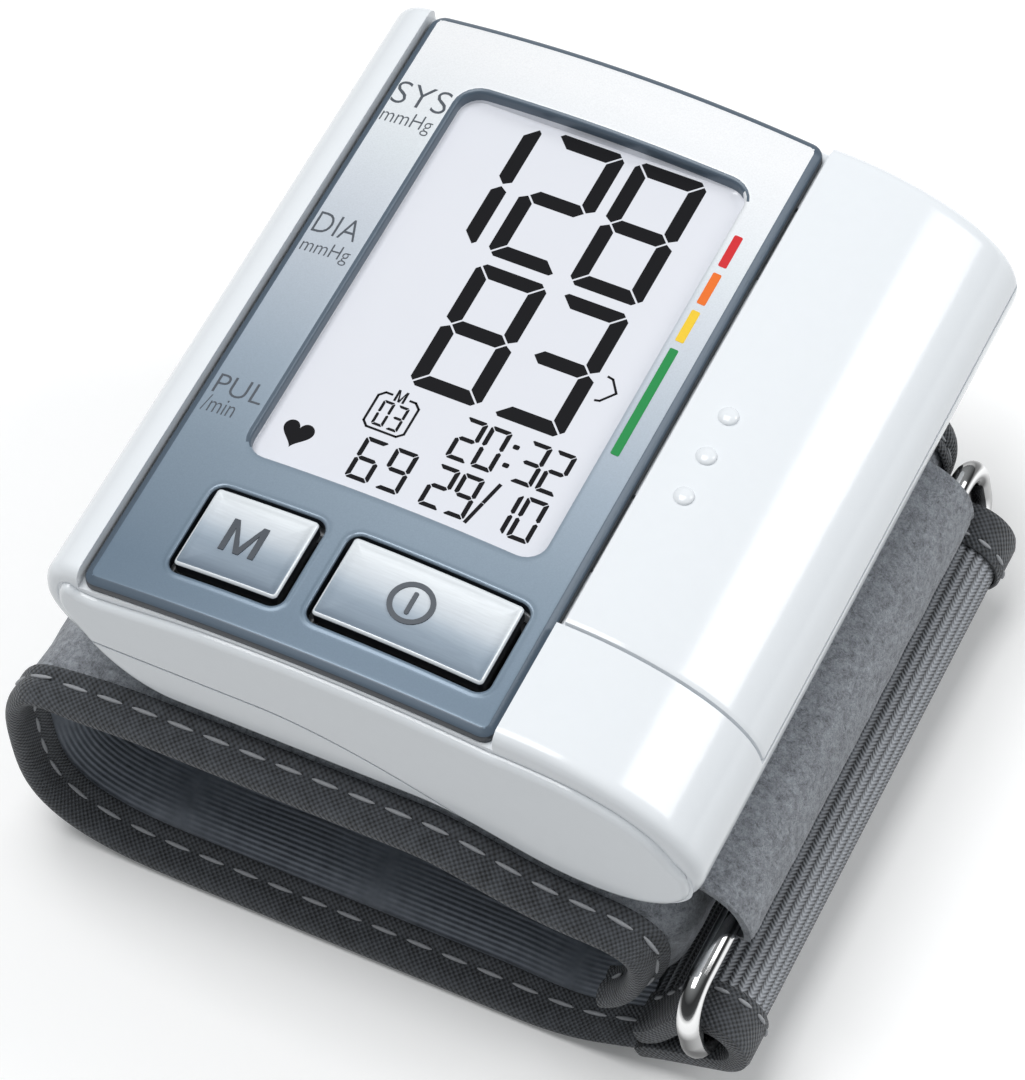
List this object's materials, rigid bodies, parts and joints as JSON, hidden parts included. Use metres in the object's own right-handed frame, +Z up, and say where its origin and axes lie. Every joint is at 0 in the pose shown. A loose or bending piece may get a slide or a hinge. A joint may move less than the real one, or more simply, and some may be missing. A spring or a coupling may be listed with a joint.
{
  "type": "wrist blood pressure monitor",
  "caption": "Wrist blood pressure monitor: white case with a display, keys and a sliding battery lid, on a felt cuff looped round the wrist and drawn through a metal ring.",
  "frame": {"origin": "middle of the bounding box's footprint, on the surface that the cuff stands on", "axes": "+Z up through the display, +X across the wrist towards the battery lid and the ring, +Y along the wrist away from the keys"},
  "size_m": [0.073, 0.0742, 0.0445],
  "materials": {
    "white_plastic": "glossy moulded white",
    "panel_silver": "silver-blue metallic paint, satin",
    "key_silver": "brushed silver plating",
    "clear_plastic": "clear, polished",
    "display_glass": "pale lavender display with dark segments",
    "black_plastic": "matte black",
    "grey_rubber": "matte grey",
    "board_green": "green solder mask",
    "steel": "nickel plated",
    "brass": "turned",
    "chrome": "polished chrome plating",
    "cell_skin": "plain printed sleeve",
    "tube_clear": "milky silicone",
    "felt_grey": "brushed grey felt",
    "binding_black": "woven charcoal tape with grey stitching",
    "lining_navy": "smooth navy-black cloth with fine ribs",
    "webbing_grey": "ribbed grey webbing",
    "bladder_film": "flexible film"
  },
  "bodies": {
    "housing": {"upper_case": "white_plastic", "lower_case": "white_plastic", "front_panel": "panel_silver", "display_window": "clear_plastic", "case_screw_1": "steel", "case_screw_2": "steel", "case_screw_3": "steel", "case_screw_4": "steel", "lcd_glass": "display_glass", "lcd_frame": "black_plastic", "zebra_strip": "grey_rubber", "circuit_board": "board_green", "keypad_membrane": "grey_rubber", "memory_switch_dome": "steel", "start_switch_dome": "steel", "main_chip": "black_plastic", "memory_chip": "black_plastic", "quartz_crystal": "steel", "driver_chip": "black_plastic", "buzzer": "black_plastic", "pressure_sensor": "black_plastic", "pump_motor": "steel", "pump_head": "black_plastic", "air_manifold": "black_plastic", "pump_tube": "tube_clear", "sensor_tube": "tube_clear", "exhaust_valve": "steel", "battery_outer": "cell_skin", "battery_inner": "cell_skin", "contact_bridge": "steel", "contact_minus": "steel", "contact_plus": "steel", "spring_front": "steel", "spring_back": "steel", "board_screw_1": "steel", "board_screw_2": "steel", "cuff_felt": "felt_grey", "cuff_stiffener": "black_plastic", "air_bladder": "bladder_film", "cuff_lining": "lining_navy", "front_binding": "binding_black", "rear_binding": "binding_black", "cuff_nipple": "black_plastic", "felt_loop": "felt_grey", "hook_patch": "black_plastic", "strap_webbing": "webbing_grey", "strap_cap_front": "binding_black", "strap_cap_rear": "binding_black"},
    "memory_key": {"memory_button": "key_silver"},
    "start_key": {"start_button": "key_silver"},
    "lid": {"battery_lid": "white_plastic"},
    "ring": {"metal_ring": "chrome"},
    "pump_drive": {"pump_shaft": "steel"},
    "plunger": {"valve_plunger": "brass"}
  },
  "joints": [
    {"name": "memory_press", "type": "slide", "parent": "housing", "child": "memory_key", "axis": [0, 0, -1], "range_m": [0, 0.0006], "stiffness_N_per_m": 2500},
    {"name": "start_press", "type": "slide", "parent": "housing", "child": "start_key", "axis": [0, 0, -1], "range_m": [0, 0.0006], "stiffness_N_per_m": 2500},
    {"name": "lid_slide", "type": "slide", "parent": "housing", "child": "lid", "axis": [1, 0, 0], "range_m": [0, 0.016]},
    {"name": "ring_swing", "type": "hinge", "parent": "housing", "child": "ring", "pos_m": [0.03235, -0.00462, 0.0094], "axis": [0, 1, 0], "range_deg": [-2, 2]},
    {"name": "pump_turn", "type": "hinge", "parent": "housing", "child": "pump_drive", "pos_m": [-0.0053, 0.02262, 0.0341], "axis": [1, 0, 0], "continuous": true},
    {"name": "valve_shift", "type": "slide", "parent": "housing", "child": "plunger", "axis": [1, 0, 0], "range_m": [0, 0.0008], "stiffness_N_per_m": 300}
  ]
}
